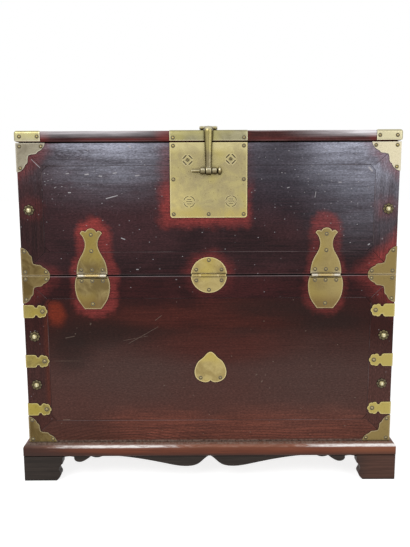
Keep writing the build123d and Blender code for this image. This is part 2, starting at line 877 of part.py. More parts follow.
with BuildPart() as base_rail_back:
    board(
        (-rail_inner_x, rail_inner_x),
        (case_back - base_rail_depth, case_back),
        (foot_height, base_height),
    )
pieces["base_rail_back"] = base_rail_back

for side, sign in sides:
    with BuildPart() as side_rail:
        with BuildSketch(Plane.XY.offset(foot_height)):
            polygon(
                (base_half_width, base_front),
                (base_half_width, case_back),
                (rail_inner_x, case_back),
                (rail_inner_x, rail_inner_y),
            )
        extrude(amount=base_rail_height)
        ease_rail(side_rail, Axis.Y, Axis.X)
        apron_groove(right_apron_plane, side_half_span)
        if side == "left":
            mirror(about=Plane.YZ, mode=Mode.REPLACE)
    pieces[f"base_rail_{side}"] = side_rail

    with BuildPart() as side_apron:
        with BuildSketch(right_apron_plane):
            apron_outline(side_half_span, side_carving_scale)
        extrude(amount=-apron_thickness)
        if side == "left":
            mirror(about=Plane.YZ, mode=Mode.REPLACE)
    pieces[f"apron_{side}"] = side_apron

with BuildPart() as front_apron:
    with BuildSketch(front_apron_plane):
        apron_outline(front_half_span, 1)
    extrude(amount=-apron_thickness)
pieces["apron_front"] = front_apron


def foot_outline():
    """A bracket foot's face, from its outer edge inwards, with its scrolled inner edge."""
    with BuildLine() as outline:
        Polyline((0, 0), (foot_width - 16, 0))
        Spline(
            (foot_width - 16, 0),
            (foot_width - 9, 0.12 * foot_height),
            (foot_width - 5.5, 0.29 * foot_height),
            (foot_width - 9.5, 0.46 * foot_height),
            (foot_width - 2, 0.68 * foot_height),
            (foot_width, 0.84 * foot_height),
            tangents=((1, 1), (0, 1)),
        )
        Polyline(
            (foot_width, 0.84 * foot_height), (foot_width, foot_height), (0, foot_height), (0, 0)
        )
    make_face(outline.line)


with BuildPart() as front_right_foot:
    with BuildSketch(Plane((base_half_width, base_front, 0), x_dir=(-1, 0, 0), z_dir=(0, 1, 0))):
        foot_outline()
    extrude(amount=foot_thickness)
    with BuildSketch(Plane((base_half_width, base_front, 0), x_dir=(0, 1, 0), z_dir=(1, 0, 0))):
        foot_outline()
    extrude(amount=-foot_thickness)
    corner_edge = front_right_foot.edges().filter_by(Axis.Z).group_by(Axis.X)[-1]
    fillet(corner_edge.sort_by(Axis.Y)[0], base_rail_arris)

base_middle = Plane.XZ.offset(-base_middle_y)
for side, sign in sides:
    for end in ("front", "back"):
        with BuildPart() as foot:
            add(front_right_foot.part)
            if side == "left":
                mirror(about=Plane.YZ, mode=Mode.REPLACE)
            if end == "back":
                mirror(about=base_middle, mode=Mode.REPLACE)
        pieces[f"foot_{end}_{side}"] = foot

# ---------------------------------------------------------------- nails
with BuildPart() as door_nail_set:
    drive(front_plane, door_nails, plate_nail)
    drive(front_plane, door_domes, dome_nail)
pieces["door_nails"] = door_nail_set

with BuildPart() as side_nail_set:
    drive(side_plane, side_nails, plate_nail)
    drive(side_plane, side_strap_nails, strap_nail_piece)
    mirror(about=Plane.YZ)

with BuildPart() as case_nail_set:
    drive(front_plane, case_nails, plate_nail)
    drive(front_plane, strap_nails, strap_nail_piece)
    drive(front_plane, case_domes, dome_nail)
    drive(edge_plane, edge_nails, plate_nail)
    add(side_nail_set.part)
pieces["case_nails"] = case_nail_set

# ---------------------------------------------------------------- files
os.makedirs("parts", exist_ok=True)
for name, piece in pieces.items():
    piece.part.label = name
    export_step(piece.part, f"parts/{name}.step")
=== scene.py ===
"""The looks of a bandaji chest: worn red-black lacquer over softwood, and aged brass fittings."""
import json
from functools import reduce
from math import cos, hypot, pi, radians, sin

import bpy
from mathutils import Matrix, Vector

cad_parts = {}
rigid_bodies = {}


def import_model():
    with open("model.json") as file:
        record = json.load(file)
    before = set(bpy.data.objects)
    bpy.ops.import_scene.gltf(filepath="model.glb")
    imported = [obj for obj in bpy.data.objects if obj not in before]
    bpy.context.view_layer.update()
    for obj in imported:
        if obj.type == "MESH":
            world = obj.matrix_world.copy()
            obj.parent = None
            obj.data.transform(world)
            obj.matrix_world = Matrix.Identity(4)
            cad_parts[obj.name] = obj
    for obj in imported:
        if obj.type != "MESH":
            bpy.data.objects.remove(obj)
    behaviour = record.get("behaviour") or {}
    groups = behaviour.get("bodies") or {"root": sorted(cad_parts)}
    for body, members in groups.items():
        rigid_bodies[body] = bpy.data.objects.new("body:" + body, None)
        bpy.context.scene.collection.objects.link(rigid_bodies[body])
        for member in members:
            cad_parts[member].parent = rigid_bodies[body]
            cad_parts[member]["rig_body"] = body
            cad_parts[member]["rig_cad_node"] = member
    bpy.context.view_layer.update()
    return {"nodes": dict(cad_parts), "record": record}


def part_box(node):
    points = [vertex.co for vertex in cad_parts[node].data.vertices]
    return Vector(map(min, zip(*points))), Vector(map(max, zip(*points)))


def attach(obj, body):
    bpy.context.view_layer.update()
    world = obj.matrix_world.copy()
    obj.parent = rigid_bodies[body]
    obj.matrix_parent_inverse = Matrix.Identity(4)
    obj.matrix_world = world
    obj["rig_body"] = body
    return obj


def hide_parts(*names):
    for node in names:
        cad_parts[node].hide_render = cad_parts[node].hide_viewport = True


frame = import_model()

MM = 0.001
record = frame["record"]
nodes = frame["nodes"]
body_of = {node: body for body, held in record["behaviour"]["bodies"].items() for node in held}
slot_of = {part["node"]: part["material_slot"] for part in record["subparts"]}

# The levels, widths and places that the pieces and the wear follow, in millimetres. FACE and
# PLATE_FACE are the y of the front's wood and of the sheet fittings on it, and PLATE is how
# thick those are.
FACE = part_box("front_panel")[0].y / MM - 0.4
SEAM = 507
DOOR_TOP = 814
TOP_LEVEL = 840
BASE_TOP = 94
HALF_WIDTH = 440
PLATE = 1.2
PLATE_FACE = FACE - PLATE
HINGE_X, HINGE_HALF = 275, 31
ROSETTE_X = 416.5
CASE_ROSETTE_LEVELS = (240, 360)
DOOR_ROSETTE_LEVELS = (661,)
LOCK_CENTRE, LOCK_HALF = (-8, 720), (93, 84)


# -------- shader language
class Signal:
    """A shader socket. Arithmetic on it adds Math nodes."""

    def __init__(self, tree, socket):
        self.tree = tree
        self.socket = socket

    def math(self, operation, *values):
        return self.tree.node("Math", {"operation": operation}, dict(enumerate(values)))

    def __add__(self, other):
        return self.math("ADD", self, other)

    def __radd__(self, other):
        return self.math("ADD", other, self)

    def __sub__(self, other):
        return self.math("SUBTRACT", self, other)

    def __rsub__(self, other):
        return self.math("SUBTRACT", other, self)

    def __mul__(self, other):
        return self.math("MULTIPLY", self, other)

    def __rmul__(self, other):
        return self.math("MULTIPLY", other, self)

    def __truediv__(self, other):
        return self.math("DIVIDE", self, other)

    def __pow__(self, other):
        return self.math("POWER", self, other)

    def __neg__(self):
        return self.math("MULTIPLY", self, -1)

    def __abs__(self):
        return self.math("ABSOLUTE", self)

    def over(self, low, high):
        """0 below low and 1 above high, or the reverse where low is the greater of the two."""
        span = {"Value": self, "From Min": low, "From Max": high}
        return self.tree.node("MapRange", {"interpolation_type": "SMOOTHSTEP"}, span)

    def most(self, other):
        return self.math("MAXIMUM", self, other)

    def least(self, other):
        return self.math("MINIMUM", self, other)


def distance(across, up):
    """The length of a step that goes across and up."""
    return (across * across + up * up) ** 0.5


class Tree:
    """The nodes of a material or of the world."""

    def __init__(self, tree):
        self.tree = tree

    def feed(self, socket, value):
        """Links a signal to a socket, or sets the socket to a constant."""
        if isinstance(value, Signal):
            self.tree.links.new(value.socket, socket)
        else:
            socket.default_value = value

    def node(self, kind, settings=None, inputs=None, output=0):
        """Any node: its settings are made first, then its inputs, and one output comes back."""
        made = self.tree.nodes.new("ShaderNode" + kind)
        for name, value in (settings or {}).items():
            if name == "stops":
                ramp = made.color_ramp.elements
                while len(ramp) < len(value):
                    ramp.new(1)
                for stop, (position, colour) in zip(ramp, value):
                    stop.position = position
                    stop.color = (*colour, 1)
            else:
                setattr(made, name, value)
        for name, value in (inputs or {}).items():
            self.feed(made.inputs[name], value)
        return Signal(self, made.outputs[output])

    def parts(self, vector):
        """The x, y and z of a vector."""
        return [self.node("SeparateXYZ", inputs={0: vector}, output=axis) for axis in "XYZ"]

    def in_sight(self):
        """1 for what the camera sees, straight, mirrored or through glass, and 0 for lighting."""
        rays = ("Is Camera Ray", "Is Glossy Ray", "Is Transmission Ray")
        return reduce(Signal.most, (self.node("LightPath", output=ray) for ray in rays))


class Finish(Tree):
    """A material: its patterns, and its colour, which is laid on in layers."""

    def __init__(self, name):
        self.material = bpy.data.materials.new(name)
        self.material.use_nodes = True
        super().__init__(self.material.node_tree)
        self.shader = self.tree.nodes["Principled BSDF"]
        to_millimetres = {0: self.node("TexCoord", output="Object"), "Scale": 1 / MM}
        self.place = self.node("VectorMath", {"operation": "SCALE"}, to_millimetres)
        self.x, self.y, self.z = self.parts(self.place)
        self.colour = None

    def normals(self):
        """How far the surface faces right, back and up, each from -1 to 1."""
        return self.parts(self.node("TexCoord", output="Normal"))

    def noise(self, scale, detail=3, roughness=0.5, at=None, distortion=0.0):
        """Soft noise about 0.5, whose scale is its number of waves per millimetre."""
        inputs = {
            "Vector": at or self.place,
            "Scale": scale,
            "Detail": detail,
            "Roughness": roughness,
            "Distortion": distortion,
        }
        return self.node("TexNoise", inputs=inputs, output="Fac")

    def stretched(self, axis, along, across, drift=(0, 0, 0)):
        """The place on the piece, scaled along an axis and across it, and moved by a drift."""
        scale = tuple(along if each == axis else across for each in "XYZ")
        inputs = {"Vector": self.place, "Location": drift, "Scale": scale}
        return self.node("Mapping", inputs=inputs)

    def waves(self, run, pitch):
        """Waves from -1 to 1 along a run, a pitch apart."""
        return self.node("Math", {"operation": "SINE"}, {0: run * (2 * pi / pitch)})

    def cloud(self, centre, half, edge=0.5):
        """A soft patch on the front: 1 inside an oval given by its centre and half sizes."""
        across = (self.x - centre[0]) / half[0]
        up = (self.z - centre[1]) / half[1]
        drift = self.noise(0.02, 4, 0.65, self.stretched("X", 0.45, 1.0))
        gap = distance(across, up) + (drift - 0.5) * 1.6
        return gap.over(1 + edge, 1 - edge)

    def crevice(self, reach, samples):
        """How open the surface lies within a reach: near 0 in corners and 1 in the open."""
        inputs = {"Distance": reach * MM}
        return self.node("AmbientOcclusion", {"samples": samples}, inputs, "AO")

    def blend(self, first, second, share, mode="MIX"):
        """Colour first turning into colour second as the share goes from 0 to 1."""
        colours = {}
        for socket, colour in ((6, first), (7, second)):
            colours[socket] = colour if isinstance(colour, Signal) else (*colour, 1)
        settings = {"data_type": "RGBA", "blend_type": mode, "clamp_factor": True}
        return self.node("Mix", settings, {0: share, **colours}, 2)

    def layer(self, colour, share, mode="MIX"):
        """Lays a colour over the ones before it."""
        self.colour = self.blend(self.colour, colour, share, mode)

    def bump(self, height, depth, strength):
        """A normal from a height of 0 to 1, whose depth is in millimetres."""
        inputs = {"Height": height, "Distance": depth * MM, "Strength": strength}
        return self.node("Bump", inputs=inputs, output="Normal")

    def wear(self, **sockets):
        """Feeds the shader's own sockets, whose names have _ for each space."""
        for name, value in sockets.items():
            self.feed(self.shader.inputs[name.replace("_", " ")], value)
        return self.material


# -------- softwood
class Wood(Finish):
    """A softwood board whose fibres run along an axis."""

    def __init__(self, name, along):
        super().__init__(name)
        self.along = along
        self.sweep = self.fibred(0.3, 1.0, 3, 0.55, scale=0.006)
        self.fibres = self.fibred(0.010, 0.30, 4, 0.65)
        self.pores = self.fibred(0.022, 1.1, 3, 0.7, (31, 17, 5))
        wander = self.fibred(0.0026, 0.011, 2, 0.5, (3, 8, 61))
        across = self.x if along == "Z" else self.z
        self.rings = self.waves(across + wander * 46, 4.6).over(-0.2, 0.9)

    def fibred(self, along, across, detail, roughness, drift=(0, 0, 0), scale=1.0):
        """Noise that is drawn out along the fibres."""
        place = self.stretched(self.along, along, across, drift)
        return self.noise(scale, detail, roughness, place)

    def bare_tone(self):
        """The colour of unlacquered softwood, darkened by age."""
        dark, light = (0.110, 0.066, 0.036), (0.20, 0.12, 0.065)
        fibre, pore, ring = (0.27, 0.162, 0.088), (0.05, 0.028, 0.015), (0.085, 0.048, 0.026)
        tone = self.blend(dark, light, self.sweep.over(0.3, 0.7))
        tone = self.blend(tone, fibre, self.fibres.over(0.45, 0.75) * 0.7)
        tone = self.blend(tone, pore, self.pores.over(0.66, 0.80) * 0.6)
        return self.blend(tone, ring, self.rings * 0.35)


def bare_wood(name, along):
    """Unlacquered softwood, with painted shade in its corners."""
    wood = Wood(name, along)
    wood.colour = wood.bare_tone()
    # Painted shade in corners and crevices, by ambient occlusion.
    wood.layer((0.012, 0.008, 0.006), wood.crevice(12, samples=6).over(0.9, 0.25))
    return wood.wear(
        Base_Color=wood.colour,
        Roughness=0.62 + (wood.fibres - 0.5) * 0.3,
        Specular_IOR_Level=0.3,
        Normal=wood.bump(wood.fibres * 0.6 + wood.pores * 0.4, 0.5, 0.6),
    )


# -------- lacquered wood
# Streaky colours: each goes from its first tone to its second one.
BLACK = ((0.011, 0.0060, 0.0068), (0.037, 0.0150, 0.0165))
BROWN = ((0.052, 0.0225, 0.019), (0.125, 0.052, 0.042))
RED = ((0.100, 0.029, 0.022), (0.20, 0.060, 0.038))
UNDERCOAT = ((0.142, 0.024, 0.024), (0.335, 0.054, 0.046))
TOP_UNDERCOAT = ((0.10, 0.018, 0.017), (0.24, 0.040, 0.036))
LOW_RED = ((0.100, 0.034, 0.025), (0.240, 0.073, 0.047))
DEEP_RED = ((0.048, 0.0100, 0.0075), (0.098, 0.024, 0.017))
BASE_RED = ((0.110, 0.036, 0.023), (0.245, 0.072, 0.037))
FOOT_BLACK = ((0.028, 0.0225, 0.0195), (0.056, 0.043, 0.037))
FOOT_BROWN = ((0.060, 0.030, 0.023), (0.130, 0.062, 0.045))
GREY_DENT = ((0.22, 0.19, 0.20), (0.62, 0.60, 0.62))
BROWN_DENT = ((0.17, 0.115, 0.085), (0.42, 0.33, 0.26))
DUST = ((0.085, 0.058, 0.044), (0.22, 0.160, 0.128))
# Near-black painted shade, for the seam, the gap under the top board and crevices.
PAINTED_SHADE = (0.004, 0.003, 0.003)

# The lower front from its foot up: dusty red-brown near the floor, near-black at the seam.
LOW_TONES = (
    (0.0, (0.118, 0.040, 0.026)),
    (0.2, (0.094, 0.039, 0.031)),
    (0.5, (0.083, 0.037, 0.031)),
    (0.8, (0.038, 0.011, 0.0085)),
    (1.0, (0.032, 0.009, 0.0085)),
)
LOW_RISE = 356

# Soft patches of the lower front: the centre and the half sizes of each, by x and z.
RED_FOOT_PATCHES = (((-115, 132), (120, 42)), ((215, 128), (170, 48)))
DEEP_RED_PATCHES = (((60, 415), (170, 34)), ((-130, 408), (90, 26)), ((25, 330), (170, 36)))
SMOKE_PATCHES = (
    ((-258, 366), (120, 26)),
    ((-330, 325), (50, 40)),
    ((290, 400), (90, 26)),
    ((175, 425), (110, 24)),
)
DUST_PATCHES = (((-190, 262), (140, 62)), ((270, 240), (150, 90)))

# The larger scratches and dents of each kind of board: start and end by x and z, and width.
MARKS = {
    "door": (
        ((-237, 687), (-211, 694), 1.5),
        ((-328, 744), (-322, 745), 1.6),
        ((-284, 742), (-277, 743), 2.2),
        ((-252, 739), (-246, 738), 1.7),
        ((-219, 745), (-212, 746), 1.7),
        ((-168, 739), (-160, 740), 1.9),
        ((-324, 701), (-319, 701), 1.7),
        ((-356, 712), (-352, 714), 1.2),
        ((-204, 595), (-196, 592), 1.6),
        ((-182, 806), (-178, 803), 2.6),
        ((-170, 521), (-166, 521), 1.5),
        ((369, 756), (376, 748), 3.2),
        ((373, 577), (376, 579), 2.0),
        ((-406, 777), (-387, 758), 1.1),
        ((182, 710), (186, 711), 1.4),
        ((246, 688), (248, 701), 1.0),
        ((300, 722), (306, 722), 1.4),
    ),
    "low": (
        ((-192, 342), (-122, 382), 0.8),
        ((-205, 349), (-146, 360), 0.6),
        ((-343, 356), (-322, 360), 1.1),
        ((-283, 389), (-282, 391), 2.4),
        ((-320, 366), (-319, 366), 1.6),
        ((-357, 150), (-341, 151), 2.0),
        ((113, 262), (115, 264), 2.0),
        ((135, 261), (136, 262), 1.6),
        ((126, 245), (128, 247), 2.2),
        ((-128, 398), (-113, 410), 1.0),
        ((-110, 236), (-108, 237), 1.5),
    ),
    "base": (((-391, 79), (-376, 78), 1.7),),
    "stile": (((-406, 777), (-387, 758), 1.1), ((-405, 533), (-400, 528), 2.0)),
}


class Lacquer(Wood):
    """Black lacquer over red on a board, and the patterns that its layers share.

    The kind of board is door, stile or low on the front, or top, side, base, base_side or foot.
    """

    def __init__(self, name, along, kind):
        super().__init__(name, along)
        self.kind = kind
        self.on_front = kind in ("door", "stile", "low")
        self.turned, self.facing, self.raised = self.normals()
        self.streak = self.fibres.over(0.30, 0.74) * 0.8 + self.pores.over(0.3, 0.7) * 0.2
        self.cloudy = self.fibred(0.55, 1.0, 5, 0.6, (60, 33, 12), scale=0.010)
        elsewhere = self.stretched("X", 0.5, 1.0, (140, 20, 8))
        self.patch = self.noise(0.012, 3, 0.6, elsewhere).over(0.38, 0.66)
        self.right = self.x.over(-60, 160)

    def streaked(self, tones):
        """A streaky colour."""
        return self.blend(*tones, self.streak)

    def top_coat(self, red, brown):
        """The black coat, and the brown and the red that show through it by their shares."""
        browner, warmer = (0.052, 0.020, 0.022), (1.08, 0.66, 0.62)
        self.colour = self.streaked(BLACK)
        self.layer(browner, self.cloudy.over(0.44, 0.72) * 0.7)
        if self.on_front:
            self.layer(warmer, self.z.over(540, 480), "MULTIPLY")
        if brown:
            low = self.z.over(330, 110) * (0.4 + 0.8 * self.right)
            self.layer(self.streaked(BROWN), (self.sweep.over(0.30, 0.62) * 0.4 + low) * brown)
        if red:
            self.layer(self.streaked(RED), self.sweep.over(0.34, 0.66) * red)

    def low_tones(self):
        """The tones of the lower front. The stiles take them on below the seam alone."""
        level = (self.z - BASE_TOP) / LOW_RISE + (self.cloudy - 0.5) * 0.30
        tones = self.node("ValToRGB", {"stops": LOW_TONES}, {0: level}, "Color")
        depth = self.z.over(190, 130) * 0.35 + 0.35
        tones = self.blend(tones, (0.50, 0.47, 0.46), (1 - self.streak) * depth, "MULTIPLY")
        share = 1.0
        if self.kind == "stile":
            share = self.z.over(SEAM, SEAM - 60) * (0.5 + 0.45 * self.right)
        self.layer(tones, share)

    def door_casts(self):
        """A warm cast left of the lock, and a cool painted reflection high on the right."""
        warm, cool_reflection = (0.066, 0.0270, 0.0310), (0.036, 0.0345, 0.047)
        self.layer(warm, self.cloud((-225, 640), (150, 58), 0.8) * 0.5)
        # Painted reflection: cool grey-blue high on the right of the door.
        self.layer(cool_reflection, self.z.over(590, 740) * self.right * (0.3 + 0.4 * self.cloudy))

    def stile_edge(self):
        """Red along the inner edge of the left stile, in its lower half."""
        inner = abs(self.x + 386).over(14, 2) * abs(self.z - 300).over(150, 80)
        self.layer((0.105, 0.024, 0.013), inner * (0.25 + 0.45 * self.streak))

    def low_patches(self):
        """The patches, the growth rings, the dust and the board joint of the lower front."""
        ring, smoke = (0.040, 0.015, 0.011), (0.0155, 0.0090, 0.0078)
        dusty, joint = (0.066, 0.047, 0.041), (0.15, 0.10, 0.075)
        for centre, half in RED_FOOT_PATCHES:
            self.layer(self.streaked(LOW_RED), self.cloud(centre, half, 0.7) * 0.85)
        left_knot = self.knot((-205, 40), 2.6, 150, 7.0, (self.cloudy - 0.5) * 16)
        right_knot = self.knot((150, -60), 5.0, 260, 7.0, (self.cloudy - 0.5) * 22)
        self.layer(ring, left_knot.most(right_knot) * self.z.over(185, 140) * 0.60)
        for centre, half in DEEP_RED_PATCHES:
            self.layer(self.streaked(DEEP_RED), self.cloud(centre, half) * 0.6)
        for centre, half in SMOKE_PATCHES:
            self.layer(smoke, self.cloud(centre, half, 0.7) * 0.62)
        left_dust, right_dust = (self.cloud(centre, half, 0.8) for centre, half in DUST_PATCHES)
        self.layer(dusty, (left_dust + right_dust) * (0.3 + 0.3 * self.streak) * 0.7)
        line = abs(self.z - 299).over(1.4, 0.5) * self.patch
        self.layer(joint, line * self.x.over(-172, -200) * self.x.over(-390, -360) * 0.6)

    def halos(self):
        """How far the black coat has gone round each fitting of the front, from 0 to 1."""
        x, z = self.x, self.z
        right = x.over(-120, 120)
        left = 1 - right
        lift = right * 9
        waist = 50 - z.over(505, 570) * 14 - right * 5
        beside_hinge = abs(x - left * 6 + 1) - HINGE_X
        above_hinge = (abs(z - 530 - lift) - 70 - lift).most(0)
        hinge = distance(beside_hinge, above_hinge) - waist
        hinge_share = z.over(585, 615) * 0.40 + z.over(465, 430) * 0.15 + 0.56
        beside_lock = (abs(x - LOCK_CENTRE[0]) - LOCK_HALF[0]).most(0)
        above_lock = (abs(z - LOCK_CENTRE[1]) - LOCK_HALF[1]).most(0)
        lock = distance(beside_lock, above_lock)
        lock_share = 1.10 - z.over(690, 740) * 0.70 - right * 0.2
        round_hinge = distance(x, z - SEAM) - 42
        from_end = HALF_WIDTH - abs(x)
        corner = (from_end + (DOOR_TOP - z)) * 0.72 - 54
        middle = (from_end + abs(z - SEAM)) * 0.72 - 56
        above = z.over(515, 545)
        middle_share = 0.55 - left * (0.22 + above * 0.30) + right * above * 0.4
        rosette = distance(abs(x) - 412, z - 663) - 18
        fittings = (
            (hinge, 15, hinge_share * (0.70 + 0.50 * left)),
            (lock, 28, lock_share),
            (round_hinge, 30, z.over(490, 520) * 0.35 + 0.22),
            (corner, 28, 0.64 - left * 0.12),
            (middle, 28 + right * 10, middle_share),
            (rosette, 24, 0.32 - left * 0.14),
        )
        drift = self.noise(0.030, 4, 0.65)
        fray = self.noise(1.0, 3, 0.7, self.stretched("X", 0.04, 0.22, (9, 4, 77)))
        ragged = (drift - 0.5) * 34 + (fray - 0.5) * 12
        return reduce(
            Signal.most,
            ((1 - (gap + ragged).over(-6, reach)) * share for gap, reach, share in fittings),
        )

    def rubbed_front(self, worn):
        """Red where the black has gone, and a bright patch at the lower front's top left."""
        red = self.blend(*UNDERCOAT, self.pores.over(0.3, 0.7))
        self.layer(red, worn * (0.70 + 0.30 * self.streak))
        patch = self.cloud((-364, 412), (21, 28), 0.55)
        self.layer((0.190, 0.028, 0.012), patch * (0.65 + 0.3 * self.streak))

    def reflected_sheen(self, sheen_strength, worn):
        """A painted reflection of a bright room: a grey sheen, strong high on the front, at both
        ends.
        """
        grey, brushed = (0.365, 0.375, 0.450), (0.17, 0.155, 0.175)
        streaky = self.fibred(0.010, 0.060, 4, 0.7, (2, 5, 40))
        patchy = self.fibred(0.5, 1.0, 4, 0.65, (90, 0, 3), scale=0.011)
        right = self.x.over(170, 370)
        span = abs(self.x + 235).over(185, 20).most(right)
        high = self.z.over(640, 880) * 0.75 + self.z.over(775, 815) * 0.35
        high = high + abs(self.z - 740).over(22, 4) * 0.09
        share = high * (span * 0.88 + 0.16) + right * self.z.over(540, 700) * 0.14
        share = share + self.x.over(285, 330) * abs(self.z - 630).over(100, 30) * 0.04
        texture = (streaky * 1.1 + patchy * 0.9 + self.streak * 0.25).over(0.62, 1.55)
        self.layer(grey, share * (0.25 + 1.45 * texture) * sheen_strength * (1 - worn * 0.6))
        strokes = self.noise(1.0, 3, 0.7, self.stretched("Z", 0.030, 0.55, (11, 0, 7)))
        self.layer(brushed, strokes.over(0.60, 0.78) * self.z.over(520, 680) * 0.30)

    def grit(self):
        """Fine specks, paler and darker than the coat."""
        grit = self.fibred(0.4, 1.0, 3, 0.75, (5, 9, 2), scale=0.40)
        strength = 0.8 if self.kind == "low" else 1.0
        for tint, crest in (((1.55, 1.55, 1.58), 0.68), ((0.60, 0.60, 0.60), 0.32)):
            self.layer(tint, grit.over(0.50, crest) * strength, "MULTIPLY")

    def scratch(self, start, end, width):
        """A short straight mark on the front, from start to end, given by x and z."""
        run = (end[0] - start[0], end[1] - start[1])
        length = hypot(*run)
        unit = (run[0] / length, run[1] / length)
        across, up = self.x - start[0], self.z - start[1]
        on_line = (across * unit[0] + up * unit[1]).most(0).least(length)
        off = distance(across - on_line * unit[0], up - on_line * unit[1])
        return off.over(width, width * 0.3)

    def dents(self):
        """Lays the dents on, strewn by chance and placed one by one, and returns their depth."""
        cells = {"Vector": self.stretched(self.along, 0.13, 0.19), "Scale": 1.0}
        near = self.node("TexVoronoi", inputs=cells, output="Distance") + (self.pores - 0.5) * 0.3
        draw = self.node("TexVoronoi", inputs=cells, output="Color")
        chosen, size = (
            self.node("SeparateColor", inputs={0: draw}, output=part) for part in ("Red", "Green")
        )
        if self.kind == "door":
            crowd = self.cloud((-290, 705), (100, 60)) + self.cloud((235, 705), (125, 95))
            chosen = chosen + crowd * 0.15 - self.z.over(SEAM, SEAM - 3) * 0.022
        elif self.kind in ("low", "top"):
            chosen = chosen - 0.020
        dents = (1 - near.over(0.06, 0.17 + size * 0.30)) * chosen.over(0.962, 0.966)
        depth = 0.6 if self.kind == "low" else 0.9
        for start, end, width in MARKS.get(self.kind, ()):
            dents = dents.most(self.scratch(start, end, width) * depth)
        tones = BROWN_DENT if self.kind in ("low", "base") else GREY_DENT
        share = 0.85 if self.kind in ("door", "stile") else 0.55
        self.layer(self.blend(*tones, self.pores.over(0.3, 0.65)), dents * share)
        return dents

    def knot(self, centre, flat, reach, pitch, drift):
        """Growth rings round a knot on the front: 1 on their dark lines, and 0 beyond a reach."""
        swirl = distance((self.x - centre[0]) / flat, self.z - centre[1]) + drift
        return self.waves(swirl, pitch).over(0.1, 0.95) * swirl.over(reach, reach * 0.45)

    def door_knots(self):
        """Growth rings: a small knot at the door's top left, and a wide one by the lock."""
        drift = (self.cloudy - 0.5) * 22 + (self.fibres - 0.5) * 5
        small = self.knot((-318, 790), 3.6, 22, 4.4, drift)
        drift = (self.cloudy - 0.5) * 26 + (self.fibres - 0.5) * 8
        large = self.knot((-150, 700), 3.2, 120, 8.0, drift)
        lines = small.most(large * self.z.over(735, 775) * 0.7)
        self.layer((0.022, 0.017, 0.020), lines * 0.45)

    def arrises(self):
        """The boards' edges, pale: rubbed, and with a painted highlight."""
        steep = abs(self.facing)
        edge = steep.over(0.25, 0.45) * steep.over(0.97, 0.88) * (0.15 + 0.85 * self.patch)
        if self.on_front:
            edge = edge * (0.15 + 0.85 * abs(self.z - SEAM).over(4, 8))
        # Pale edges: part wear, part painted highlight.
        self.layer((0.36, 0.27, 0.27), edge * 0.6)

    def seam(self):
        """The lips of the seam with a painted highlight, and painted shadow in the seam and above
        the door.
        """
        from_seam = abs(self.z - SEAM)
        # Painted highlight on the lips of the seam, stronger on the lower lip.
        lip_highlight = abs(from_seam - 2.6).over(1.3, 0.5) * (0.35 + 0.65 * self.patch)
        self.layer((0.46, 0.38, 0.39), lip_highlight * (0.46 - 0.38 * self.z.over(SEAM - 1, SEAM + 1)))
        # Painted shadow in the seam and under the top board, above the door.
        dark = from_seam.over(2.2, 1.2).most(self.z.over(DOOR_TOP - 2, DOOR_TOP - 0.5))
        self.layer(PAINTED_SHADE, dark)

    def top_edge(self):
        """The top board's front: red by its fittings and low on its edge, and a painted highlight
        along its top edge.
        """
        wander = (self.cloudy - 0.5) * 50
        near_end = (abs(self.x) + wander).over(352, 384)
        near_lock = (abs(self.x + 12) + wander).over(116, 86)
        edge = self.y.over(FACE + 6, FACE - 3)
        share = near_end.most(near_lock) * (0.35 + 0.50 * edge)
        share = share * (self.y + (self.cloudy - 0.5) * 90).over(FACE + 110, FACE + 55)
        low = (self.z + (self.fibres - 0.5) * 5).over(829, 819)
        low = low * edge * (0.35 + 0.65 * self.patch) * 0.65
        self.layer(self.streaked(TOP_UNDERCOAT), share.most(low))
        # Painted highlight along the top edge, strongest at the left and at the right end.
        sheen = abs(self.x + 285).over(230, 60) * 0.76
        sheen = sheen.most(self.x.over(150, 400) * 1.5) * (0.45 + 0.55 * self.streak)
        gleam = (self.z + (self.fibres - 0.5) * 8).over(821, TOP_LEVEL) * edge
        self.layer((0.82, 0.78, 0.81), gleam * sheen)

    def base_rail(self):
        """The base rail: brown at its left end, red past it, painted light on its upper part,
        painted shade low on it, and a painted highlight along its crest.
        """
        left_brown, lit_shoulder = (0.048, 0.029, 0.025), (0.26, 0.095, 0.055)
        right_red, foot = (0.30, 0.115, 0.060), (0.060, 0.034, 0.028)
        dull_gleam, bright_gleam = (0.66, 0.37, 0.26), (0.92, 0.86, 0.83)
        red = self.streaked(BASE_RED)
        body = self.blend(left_brown, red, self.x.over(-440, -200) * 0.85 + 0.15)
        # Painted light on the rail's upper part, at its left end.
        body = self.blend(body, lit_shoulder, self.z.over(70, 84) * 0.45 * self.x.over(-440, -300))
        body = self.blend(body, right_red, self.x.over(260, 400) * 0.6)
        self.layer(body, 0.9)
        # Painted shade on the rail's lower part.
        self.layer(foot, self.z.over(76, 60))
        # Painted highlight along the crest.
        sheen = abs(self.x + 235).over(210, 20).most(self.x.over(190, 340))
        shine = self.noise(1.0, 4, 0.7, self.stretched("X", 0.05, 0.25, (7, 1, 1)))
        sheen = (sheen * 0.88 + 0.17) * (0.52 + 0.85 * shine.over(0.34, 0.64))
        sheen = sheen * (self.x.over(-450, -340) * 0.75 + 0.25)
        crest = self.x * 0.0015 + 87.0
        gleam = abs(self.z - crest).over(4.8, 0.9)
        tint = self.blend(dull_gleam, bright_gleam, sheen.over(0.12, 0.48))
        self.layer(tint, gleam * sheen)

    def foot(self):
        """The feet and aprons: a dull black, browner at the right end."""
        brown = self.streaked(FOOT_BROWN)
        self.colour = self.streaked(FOOT_BLACK)
        self.layer(brown, self.x.over(330, 400) * 0.85)

    def dust(self):
        """The dust on the base rail and at the foot of the lower front."""
        dust = self.noise(0.16, 3, 0.7).over(0.30, 0.62)
        shelf = self.z.over(101, 96) if self.kind == "low" else self.raised.over(0.55, 0.85)
        self.layer(self.blend(*DUST, dust), shelf * (0.35 + 0.45 * dust))

